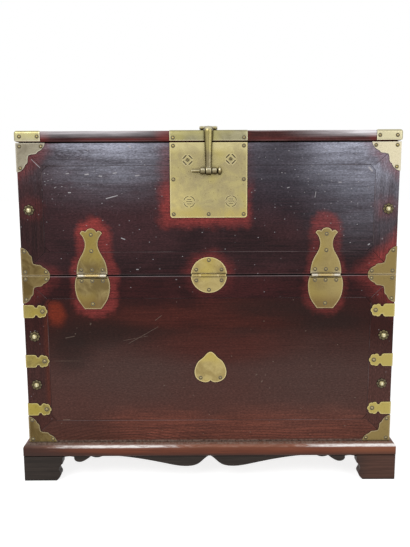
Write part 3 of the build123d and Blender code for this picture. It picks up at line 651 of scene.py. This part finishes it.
    def bare(self):
        """1 on the faces inside and behind, which were never lacquered, and 0 on the others."""
        bare = self.facing.over(0.5, 0.9)
        if self.kind == "side":
            bare = bare.most((self.turned * self.x / -HALF_WIDTH).over(0.5, 0.8))
        if self.kind == "top":
            behind = self.y.over(FACE + 18, FACE + 22)
            bare = bare.most((-self.raised).over(0.5, 0.9) * behind)
        return bare


def lacquer(name, along, kind, sheen_strength=0.0, red=0.0, brown=0.0):
    """Black over red lacquer on softwood, rubbed through to red round the fittings."""
    board = Lacquer(name, along, kind)
    board.top_coat(red, brown)
    if kind in ("low", "stile"):
        board.low_tones()
    if kind == "door":
        board.door_casts()
    if kind == "stile":
        board.stile_edge()
    if kind == "low":
        board.low_patches()
    if board.on_front:
        worn = board.halos()
        board.rubbed_front(worn)
        # Painted reflection on the upper front boards.
        if sheen_strength:
            board.reflected_sheen(sheen_strength, worn)
    board.grit()
    dents = board.dents()
    if kind == "door":
        board.door_knots()
    board.arrises()
    if board.on_front:
        board.seam()
    if kind == "top":
        board.top_edge()
    if kind == "base":
        board.base_rail()
    if kind == "foot":
        board.foot()
    # Painted shade in corners and crevices, by ambient occlusion.
    board.layer(PAINTED_SHADE, board.crevice(6, samples=8).over(0.97, 0.45))
    if kind in ("low", "base"):
        board.dust()
    bare = board.bare()
    board.layer(board.bare_tone(), bare)
    height = board.fibres * 0.6 + board.pores * 0.4 - dents * 2.0
    return board.wear(
        Base_Color=board.colour,
        Roughness=0.40 + (board.fibres - 0.5) * 0.25 + dents * 0.2 + bare * 0.2,
        Specular_IOR_Level=0.10,
        Normal=board.bump(height, 0.35, 0.5),
    )


# -------- aged brass
# The colour of painted shade on brass.
BRASS_SHADE = (0.060, 0.042, 0.016)


def tinted(colour, shares):
    """A colour whose parts are multiplied by shares."""
    return tuple(part * share for part, share in zip(colour, shares))


def nail_tones(brass):
    """The domes in the middle of the rosettes, polished, each with a painted highlight near its
    top.
    """
    dome, spot = (0.34, 0.295, 0.155), (0.70, 0.67, 0.47)
    levels = (*CASE_ROSETTE_LEVELS, *DOOR_ROSETTE_LEVELS)
    up = reduce(Signal.least, (abs(brass.z - level) for level in levels))
    across = abs(brass.x) - ROSETTE_X
    brass.layer(dome, distance(across, up).over(7.6, 6.0))
    # Painted highlight near the top of each dome.
    brass.layer(spot, distance(across, up - 1.6).over(3.0, 0.4))


def lock_tones(brass, mottle):
    """The lock plate's paler left and top, and its yellower foot."""
    left, top, foot = (0.52, 0.435, 0.185), (0.53, 0.465, 0.240), (0.42, 0.335, 0.118)
    brass.layer(left, brass.x.over(-20, -70) * brass.z.over(745, 695) * mottle)
    brass.layer(top, brass.z.over(785, 806) * mottle)
    brass.layer(foot, brass.z.over(672, 650) * mottle)


def hinge_tones(brass):
    """A hinge's barrel and the flare above it as painted highlights, a painted shadow line below
    the barrel, and its browner foot.
    """
    end, middle = (0.60, 0.56, 0.47), (0.48, 0.37, 0.17)
    dark, brown = (0.016, 0.010, 0.005), (0.135, 0.078, 0.032)
    # Painted highlight on the barrel and a pale flare above it.
    barrel = abs(brass.z - SEAM - 0.2).over(3.8, 3.2)
    from_end = HINGE_HALF - abs(abs(brass.x) - HINGE_X)
    flare_highlight = brass.z.over(519, 509) * brass.z.over(503, 506) * from_end.over(22, 3) * 0.5
    silver_highlight = brass.blend(end, middle, from_end.over(8, 20))
    brass.layer(silver_highlight, (barrel * 0.92).most(flare_highlight))
    # Painted shadow below the barrel.
    brass.layer(dark, abs(brass.z - 501.3).over(2.2, 1.3))
    brass.layer(brown, brass.z.over(470, 436) * 0.65)


def facing_light(brass, kind, under, proud, crown):
    """Painted shade on what faces down and on what doesn't face the front, and a painted
    highlight on what faces up and forward.
    """
    facing, raised = brass.normals()[1:]
    if under:
        # Painted shade on what faces down.
        brass.layer(BRASS_SHADE, (-raised).over(-0.15, 0.75) * under)
    if proud:
        low, high = (0.60, 0.97) if kind == "nail" else (0.35, 0.92)
        # Painted shade on what doesn't face the front.
        brass.layer(BRASS_SHADE, (-facing).over(high, low) * proud)
    if crown:
        # Painted highlight on what faces up and forward.
        painted_highlight = raised.over(0.15, 0.60) * (-facing).over(0.15, 0.55)
        brass.layer((0.74, 0.69, 0.50), painted_highlight * crown)


def edges(brass, bright, share):
    """Pale rubbed edges, and painted shade in crevices."""
    rounded = brass.node("Bevel", {"samples": 8}, {"Radius": 4.5 * MM}, "Normal")
    flat = brass.node("NewGeometry", output="Normal")
    turn = brass.node("VectorMath", {"operation": "DOT_PRODUCT"}, {0: rounded, 1: flat}, "Value")
    pale = tuple(min(1, part * 1.45 + 0.10) for part in bright)
    brass.layer(pale, (1 - turn).over(0.004, 0.07) * share)
    # Painted shade in crevices, by ambient occlusion.
    brass.layer((0.035, 0.023, 0.010), brass.crevice(5, samples=6).over(0.96, 0.52))


def aged_brass(
    name, bright, dull, kind="sheet",
    rough=0.42, grime=0.35, under=0.0, proud=0.0, crown=0.0, right=0.0, rubbed=0.9,
):
    """Old brass: bright, dull and brown in patches, with painted light and shade by the way it
    faces.

    The kind is sheet, lock, hinge or nail. grime is the share of dark specks and spots. The
    next three shares paint light and shade by the way the surface faces: painted shade on what
    faces down, painted shade on what doesn't face the front, and a painted highlight on what
    faces up and forward. right brightens the brass toward the right end of the chest, and
    rubbed is how pale its edges are.
    """
    brass = Finish(name)
    clouds = brass.noise(0.024, 5, 0.65, distortion=0.8)
    broad = brass.noise(0.009, 2, 0.5, brass.stretched("X", 1.0, 1.0, (400, 80, 20)))
    specks = brass.noise(0.30, 3, 0.7)
    brushed = brass.noise(1.0, 2, 0.6, brass.stretched("X", 0.06, 1.3))
    speck, spot = (0.10, 0.065, 0.025), (0.13, 0.085, 0.035)
    yellow = tinted(bright, (1.08, 1.05, 0.62))
    brass.colour = brass.blend(bright, dull, clouds.over(0.34, 0.62))
    brass.layer(yellow, broad.over(0.48, 0.62) * 0.7)
    brass.layer(speck, specks.over(0.56, 0.76) * grime)
    cells = {"Vector": brass.place, "Scale": 0.085}
    near = brass.node("TexVoronoi", inputs=cells, output="Distance")
    brass.layer(spot, near.over(0.14, 0.05) * grime)
    facing_light(brass, kind, under, proud, crown)
    if right:
        lit = tinted(bright, (1 + right, 1 + right, 0.94 * (1 + right)))
        brass.layer(lit, brass.x.over(200, 330) * (1 - specks.over(0.5, 0.8) * 0.5))
    if kind == "nail":
        nail_tones(brass)
    if kind == "lock":
        lock_tones(brass, 0.45 + 0.55 * clouds.over(0.62, 0.38))
    if kind == "hinge":
        hinge_tones(brass)
    edges(brass, bright, (0.45 + 0.55 * clouds.over(0.3, 0.6)) * rubbed)
    height = clouds * 0.5 + brushed * 0.15 + specks * 0.25
    return brass.wear(
        Base_Color=brass.colour,
        Metallic=1.0,
        Roughness=rough + (clouds - 0.5) * 0.25 + (specks - 0.5) * 0.2,
        Normal=brass.bump(height, 0.25, 0.35),
    )


# -------- which piece has which finish
woods = {
    "top": lacquer("top_lacquer", "X", "top", red=0.30),
    # The front boards take a painted reflection, a grey sheen, in the share given.
    "across": lacquer("rail_lacquer", "X", "door", sheen_strength=1.0),
    "panel": lacquer("panel_lacquer", "X", "door", sheen_strength=1.0),
    "upright": lacquer("stile_lacquer", "Z", "stile", sheen_strength=0.88, brown=0.45),
    "low_panel": lacquer("front_panel_lacquer", "X", "low"),
    "side": lacquer("side_lacquer", "Z", "side", brown=0.6),
    "base": lacquer("base_lacquer", "X", "base", red=0.6),
    "base_side": lacquer("base_side_lacquer", "Y", "base_side", red=0.8, brown=0.8),
    "foot": lacquer("foot_lacquer", "X", "foot"),
    "plain": bare_wood("bare_softwood", "X"),
}
brasses = {
    "lock": aged_brass(
        "lock_brass", (0.415, 0.355, 0.162), (0.318, 0.267, 0.144), "lock", grime=0.5
    ),
    "strip": aged_brass("strip_brass", (0.340, 0.312, 0.190), (0.240, 0.218, 0.130), grime=0.4),
    "cap": aged_brass("cap_brass", (0.43, 0.395, 0.270), (0.33, 0.297, 0.205), right=0.14),
    "pale": aged_brass("pale_brass", (0.30, 0.27, 0.20), (0.20, 0.175, 0.128), right=0.80),
    "olive": aged_brass("olive_brass", (0.185, 0.135, 0.055), (0.105, 0.070, 0.026), right=0.20),
    "strap": aged_brass(
        "strap_brass", (0.310, 0.250, 0.080), (0.190, 0.148, 0.046), grime=0.5, right=0.20
    ),
    "hinge": aged_brass(
        "hinge_brass", (0.265, 0.205, 0.088), (0.148, 0.106, 0.042), "hinge",
        grime=0.45, right=0.15,
    ),
    "round": aged_brass("round_brass", (0.395, 0.315, 0.135), (0.290, 0.220, 0.088)),
    "petal": aged_brass(
        "petal_brass", (0.115, 0.092, 0.050), (0.055, 0.042, 0.022),
        grime=0.5, under=0.85, proud=0.55, rubbed=0.3,
    ),
    "cast": aged_brass(
        "cast_brass", (0.33, 0.29, 0.175), (0.19, 0.155, 0.08),
        rough=0.34, grime=0.4, under=0.95, proud=0.97, crown=0.6,
    ),
    "pin": aged_brass(
        "pin_brass", (0.40, 0.34, 0.18), (0.24, 0.19, 0.085),
        rough=0.36, grime=0.3, under=0.95, proud=0.45, crown=0.7,
    ),
    # Near-black for painted shade: the discs round the nail heads and the engraved strokes.
    "seat": aged_brass("seat_shade", (0.060, 0.044, 0.020), (0.036, 0.026, 0.011), rough=0.5),
    "nail": aged_brass(
        "nail_brass", (0.36, 0.30, 0.155), (0.21, 0.165, 0.073), "nail",
        rough=0.40, under=0.8, proud=0.9, rubbed=0.15,
    ),
}


def both(name):
    """The names of the left and the right one of a pair."""
    return name + "_left", name + "_right"


def finish_of(groups):
    """The finish of each node, from groups of nodes by finish."""
    return {node: finish for finish, members in groups.items() for node in members}


wood_of = finish_of({
    "top": ["top_board"],
    "across": ["door_rail_top", "door_rail_bottom", "front_rail_top"],
    "panel": ["door_panel"],
    "upright": [*both("door_stile"), *both("front_stile")],
    "low_panel": ["front_rail_bottom", "front_panel"],
    "side": both("side_board"),
    "base": ["base_rail_front"],
    "base_side": both("base_rail"),
    "foot": [*both("foot_front"), *both("foot_back"), "apron_front", *both("apron")],
    "plain": ["base_rail_back", "bottom_board", "door_stop_rail"]
    + [f"back_board_{number}" for number in (1, 2, 3)],
})
brass_of = finish_of({
    "lock": ["lock_plate"],
    "strip": ["lock_strip"],
    "cap": both("top_cap"),
    "pale": both("door_corner_plate"),
    "olive": [*both("door_mid_plate"), *both("case_mid_plate"), *both("case_corner_plate")],
    "strap": both("corner_straps"),
    "round": ["striking_plate", "hinge_leaf_upper_centre", "hinge_leaf_lower_centre"],
    "hinge": [*both("hinge_leaf_upper"), *both("hinge_leaf_lower")],
    "petal": ["case_rosettes", "door_rosettes"],
    "nail": ["case_nails", "door_nails"],
    "cast": ["hasp", "hasp_lugs", *both("staple"), "pivot_pins"],
    "pin": ["lock_pin"],
})


def paint(piece, finish):
    """Gives an object its finish, through a slot of its own. Any slots after it are kept."""
    if not piece.material_slots:
        piece.data.materials.append(None)
    slot = piece.material_slots[0]
    slot.link = "OBJECT"
    slot.material = finish


for name, node in nodes.items():
    paint(node, woods[wood_of[name]] if name in wood_of else brasses[brass_of[name]])


# -------- pieces
def alone(piece):
    """Selects one object and nothing else."""
    bpy.ops.object.select_all(action="DESELECT")
    piece.select_set(True)
    bpy.context.view_layer.objects.active = piece


def editing():
    """Enters edit mode with the whole mesh selected."""
    bpy.ops.object.mode_set(mode="EDIT")
    bpy.ops.mesh.select_all(action="SELECT")


def edited():
    """Leaves edit mode."""
    bpy.ops.object.mode_set(mode="OBJECT")


def unselect_edges():
    """Leaves no edge selected, for edges that are then selected in code."""
    bpy.ops.object.mode_set(mode="EDIT")
    bpy.ops.mesh.select_mode(type="EDGE")
    bpy.ops.mesh.select_all(action="DESELECT")
    edited()


def bevel(width):
    """Rounds the selected edges."""
    bpy.ops.object.mode_set(mode="EDIT")
    bpy.ops.mesh.bevel(offset=width * MM, segments=2, affect="EDGES", clamp_overlap=False)
    edited()


def finish_piece(piece, body, finish, smooth=32):
    """Smooths a piece, fastens it to its body and gives it its finish."""
    alone(piece)
    bpy.ops.object.shade_smooth_by_angle(angle=radians(smooth))
    paint(piece, finish)
    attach(piece, body)


def joined(name, *parts):
    """One object from several."""
    alone(parts[0])
    for part in parts[1:]:
        part.select_set(True)
    bpy.ops.object.join()
    parts[0].name = name
    return parts[0]


def placed_copy(model, place, turn=(0, 0, 0), grow=1.0):
    """A copy of a model, grown, turned and moved to its place in its own mesh."""
    alone(model)
    bpy.ops.object.duplicate()
    copy = bpy.context.object
    copy.location = place
    copy.rotation_euler = turn
    copy.scale = (grow, grow, 1)
    bpy.ops.object.transform_apply(location=True, rotation=True, scale=True)
    return copy


def dressed_copy(node):
    """A merged copy of a solid, for a finer edge than the solid has."""
    alone(nodes[node])
    bpy.ops.object.duplicate()
    piece = bpy.context.object
    piece.name = node + "_worn"
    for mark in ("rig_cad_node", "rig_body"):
        del piece[mark]
    piece.parent = None
    piece.data.materials.clear()
    editing()
    bpy.ops.mesh.customdata_custom_splitnormals_clear()
    bpy.ops.mesh.remove_doubles(threshold=0.004 * MM)
    bpy.ops.mesh.dissolve_limited(angle_limit=radians(0.4))
    bpy.ops.mesh.normals_make_consistent(inside=False)
    edited()
    return piece


# -------- sheet fittings
def outer(face):
    """Whether a face is the outside of a sheet fitting: its front, its side or its top."""
    normal, centre = face.normal, face.center
    front = normal.y < -0.99 and centre.y < (PLATE_FACE + 0.1) * MM
    side = abs(normal.x) > 0.99 and abs(centre.x) > (HALF_WIDTH + PLATE - 0.1) * MM
    above = normal.z > 0.99 and centre.z > (TOP_LEVEL + PLATE - 0.1) * MM
    return front or side or above


def engrave(plate, cutters):
    """Cuts strokes into a plate, and gives the cuts the dark finish of the nail seats, as painted
    shade.
    """
    tool = joined("graver", *cutters)
    alone(plate)
    cut = plate.modifiers.new("engraving", "BOOLEAN")
    cut.operation = "DIFFERENCE"
    cut.solver = "EXACT"
    cut.use_self = True
    cut.material_mode = "TRANSFER"
    cut.object = tool
    plate.data.materials.append(brasses["lock"])
    tool.data.materials.append(brasses["seat"])
    bpy.ops.object.modifier_apply(modifier=cut.name)
    bpy.data.objects.remove(tool)


def worn_sheet(node, finish, edge=0.35, cutters=()):
    """A sheet fitting whose outer edges are rubbed round, all but those of engraved strokes."""
    sharp, engraved_margin = cos(radians(40)), 12 * MM
    low, high = (corner.copy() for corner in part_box(node))
    piece = dressed_copy(node)
    if cutters:
        engrave(piece, cutters)
    unselect_edges()
    mesh = piece.data
    faces_at = {}
    for face in mesh.polygons:
        for key in face.edge_keys:
            faces_at.setdefault(key, []).append(face)
    for line in mesh.edges:
        faces = faces_at.get(tuple(sorted(line.vertices)), [])
        if len(faces) == 2 and faces[0].normal.dot(faces[1].normal) < sharp:
            end = mesh.vertices[line.vertices[0]].co
            inside = min(end.x - low.x, high.x - end.x, end.z - low.z, high.z - end.z)
            engraved = cutters and inside > engraved_margin
            line.select = not engraved and (outer(faces[0]) or outer(faces[1]))
    bevel(edge)
    finish_piece(piece, body_of[node], finish, smooth=20)
    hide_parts(node)


def bar(length, width, depth, place, turn):
    """A short straight cutter on the front, at x and z, turned about y by an angle in degrees."""
    bpy.ops.object.select_all(action="DESELECT")
    bpy.ops.mesh.primitive_cube_add(
        size=1,
        location=(place[0] * MM, PLATE_FACE * MM, place[1] * MM),
        rotation=(0, radians(-turn), 0),
    )
    cutter = bpy.context.object
    cutter.scale = (length * MM, 2 * depth * MM, width * MM)
    bpy.ops.object.transform_apply(location=False, rotation=True, scale=True)
    return cutter


def around(centre, radius, angle):
    """A point at an angle in degrees round a centre."""
    across, up = cos(radians(angle)), sin(radians(angle))
    return centre[0] + radius * across, centre[1] + radius * up


def lattice_mark(centre):
    """Four strokes round a small lattice."""
    cutters = [
        bar(11.5, 2.7, 0.7, around(centre, 9.6, angle), angle + 90)
        for angle in (45, 135, 225, 315)
    ]
    for shift in (-2.3, 0, 2.3):
        cutters.append(bar(9.5, 1.15, 0.5, around(centre, shift, 45), 135))
        cutters.append(bar(9.5, 1.15, 0.5, around(centre, shift, 135), 45))
    return cutters


def ring_mark(centre):
    """A ring of short strokes round three lines."""
    cutters = [
        bar(5.2, 1.5, 0.4, around(centre, 12.4, arc + step), arc + step + 90)
        for arc in (20, 110, 200, 290)
        for step in (0, 22, 44)
    ]
    for rise, length in ((-5, 10), (0, 14), (5, 9)):
        cutters.append(bar(length, 1.5, 0.4, (centre[0], centre[1] + rise), 0))
    return cutters


for node, tone in brass_of.items():
    if slot_of[node] == "sheet_brass" and "rosettes" not in node or node == "lock_strip":
        worn_sheet(node, brasses[tone])

# Two lattices high on the lock plate, and two rings low on it.
strokes = [
    *lattice_mark((-48, 774)),
    *lattice_mark((51, 776)),
    *ring_mark((-45, 679)),
    *ring_mark((52, 680)),
]
worn_sheet("lock_plate", brasses["lock"], 0.45, strokes)


# -------- petals and nail seats
PETALS = 8
PETAL_HALF = (3.3, 1.3, 3.5)
PETAL_RADIUS = 9.1
PETAL_ROOT = 0.25

SEAT_DEPTH = 0.6
SEAT_MARGIN = 1.4

# How high a nail's head stands, by the radius of the head.
HEAD_HEIGHTS = {3.2: 1.7, 4.0: 2.0, 7.4: 5.6}


def petal_ring():
    """A ring of domed petals about the y axis, cut flat behind."""
    bpy.ops.object.select_all(action="DESELECT")
    bpy.ops.mesh.primitive_uv_sphere_add(segments=16, ring_count=8, radius=1)
    editing()
    bpy.ops.transform.resize(value=[half * MM for half in PETAL_HALF])
    bpy.ops.transform.translate(value=(PETAL_RADIUS * MM, 0, 0))
    bpy.ops.mesh.spin(steps=PETALS, dupli=True, angle=2 * pi, center=(0, 0, 0), axis=(0, 1, 0))
    bpy.ops.mesh.select_all(action="SELECT")
    bpy.ops.mesh.remove_doubles(threshold=0.01 * MM)
    bpy.ops.mesh.bisect(
        plane_co=(0, PETAL_ROOT * MM, 0), plane_no=(0, 1, 0), use_fill=True, clear_outer=True
    )
    bpy.ops.mesh.select_all(action="SELECT")
    bpy.ops.mesh.normals_make_consistent(inside=False)
    edited()
    return bpy.context.object


def rosette_petals(name, body, levels):
    """The petals of the rosettes at these levels, on both sides of the front."""
    model = petal_ring()
    rings = [
        placed_copy(model, (side * ROSETTE_X * MM, PLATE_FACE * MM, level * MM))
        for side in (-1, 1)
        for level in levels
    ]
    bpy.data.objects.remove(model)
    finish_piece(joined(name, *rings), body, brasses["petal"], smooth=50)


def seat_model():
    """A thin disc, 1 mm in radius, whose upper rim is rounded."""
    bpy.ops.object.select_all(action="DESELECT")
    bpy.ops.mesh.primitive_cylinder_add(vertices=22, radius=1 * MM, depth=SEAT_DEPTH * MM)
    seat = bpy.context.object
    unselect_edges()
    corners = seat.data.vertices
    for line in seat.data.edges:
        line.select = all(corners[end].co.z > 0 for end in line.vertices)
    bevel(0.12)
    return seat


def seat_copy(seat, nail):
    """A seat where a nail's head meets its plate, a margin wider than the head."""
    corners = [vertex.co for vertex in nail.data.vertices]
    low = [min(corner[axis] for corner in corners) / MM for axis in range(3)]
    high = [max(corner[axis] for corner in corners) / MM for axis in range(3)]
    size = [top - bottom for bottom, top in zip(low, high)]
    axis = size.index(max(size))
    radius = size[(axis + 1) % 3] / 2
    head = HEAD_HEIGHTS[min(HEAD_HEIGHTS, key=lambda known: abs(known - radius))]
    place = [(bottom + top) / 2 for bottom, top in zip(low, high)]
    if axis == 1:
        place[1], turn = low[1] + head, (pi / 2, 0, 0)
    elif axis == 2:
        place[2], turn = high[2] - head, (0, 0, 0)
    elif place[0] > 0:
        place[0], turn = high[0] - head, (0, pi / 2, 0)
    else:
        place[0], turn = low[0] + head, (0, -pi / 2, 0)
    return placed_copy(seat, [part * MM for part in place], turn, radius + SEAT_MARGIN)


def nail_seats(node):
    """A dark disc of painted shade round the head of each nail of a set."""
    nail_set = dressed_copy(node)
    editing()
    bpy.ops.mesh.separate(type="LOOSE")
    edited()
    nails = dict.fromkeys([nail_set, *bpy.context.selected_objects])
    model = seat_model()
    seats = [seat_copy(model, nail) for nail in nails]
    for spent in (model, *nails):
        bpy.data.objects.remove(spent)
    ring = joined(node + "_seats", *seats)
    finish_piece(ring, body_of[node], brasses["seat"])


rosette_petals("case_rosette_petals", "case", CASE_ROSETTE_LEVELS)
rosette_petals("door_rosette_petals", "door", DOOR_ROSETTE_LEVELS)
nail_seats("case_nails")
nail_seats("door_nails")


# -------- room, lamps and camera
def room_material(name, grey):
    """White to the eye and in reflections, but no brighter on the object than its grey."""
    finish = Finish(name)
    finish.wear(Base_Color=(grey, grey, grey, 1), Roughness=0.9, Specular_IOR_Level=0.1)
    glow = {"Color": (1, 1, 1, 1), "Strength": finish.in_sight() * 0.66 + 0.16}
    lit = finish.node("Emission", inputs=glow)
    surface = Signal(finish, finish.shader.outputs[0])
    both = finish.node("AddShader", inputs={0: surface, 1: lit})
    finish.feed(finish.tree.nodes["Material Output"].inputs["Surface"], both)
    return finish.material


def lamp(name, place, aim, size, power):
    """A soft square lamp."""
    light = bpy.data.lights.new(name, "AREA")
    light.size = size
    light.energy = power
    holder = bpy.data.objects.new(name, light)
    holder.location = place
    holder.rotation_euler = (Vector(aim) - Vector(place)).to_track_quat("-Z", "Y").to_euler()
    bpy.context.scene.collection.objects.link(holder)


bpy.ops.object.select_all(action="DESELECT")
bpy.ops.mesh.primitive_plane_add(size=30, location=(0, 0, 0))
floor = bpy.context.object
floor.name = "studio_floor"
floor.data.materials.append(room_material("studio_white", 0.50))

world = bpy.data.worlds.new("studio")
bpy.context.scene.world = world
world.use_nodes = True
sky = Tree(world.node_tree)
background = sky.tree.nodes["Background"].inputs
sky.feed(background["Color"], (1, 1, 1, 1))
sky.feed(background["Strength"], sky.in_sight() * 0.45 + 0.55)

lamp("key", (-1.6, -2.4, 2.6), (0, 0, 0.5), 1.6, 45)
lamp("fill", (1.9, -2.2, 1.6), (0, 0, 0.4), 1.6, 18)

camera = bpy.data.objects.new("camera", bpy.data.cameras.new("camera"))
bpy.context.scene.collection.objects.link(camera)
camera.location = (-0.00969, (FACE - 1512.25) * MM, 0.7474)
aside = Matrix.Rotation(radians(-0.0186), 3, "Z")
downward = Matrix.Rotation(radians(90 - 8.90), 3, "X")
roll = Matrix.Rotation(radians(-0.2549), 3, "Z")
camera.rotation_euler = (aside @ downward @ roll).to_euler()
camera.data.lens = 42.78
camera.data.sensor_width = 36
bpy.context.scene.camera = camera
bpy.context.scene.view_settings.view_transform = "Standard"
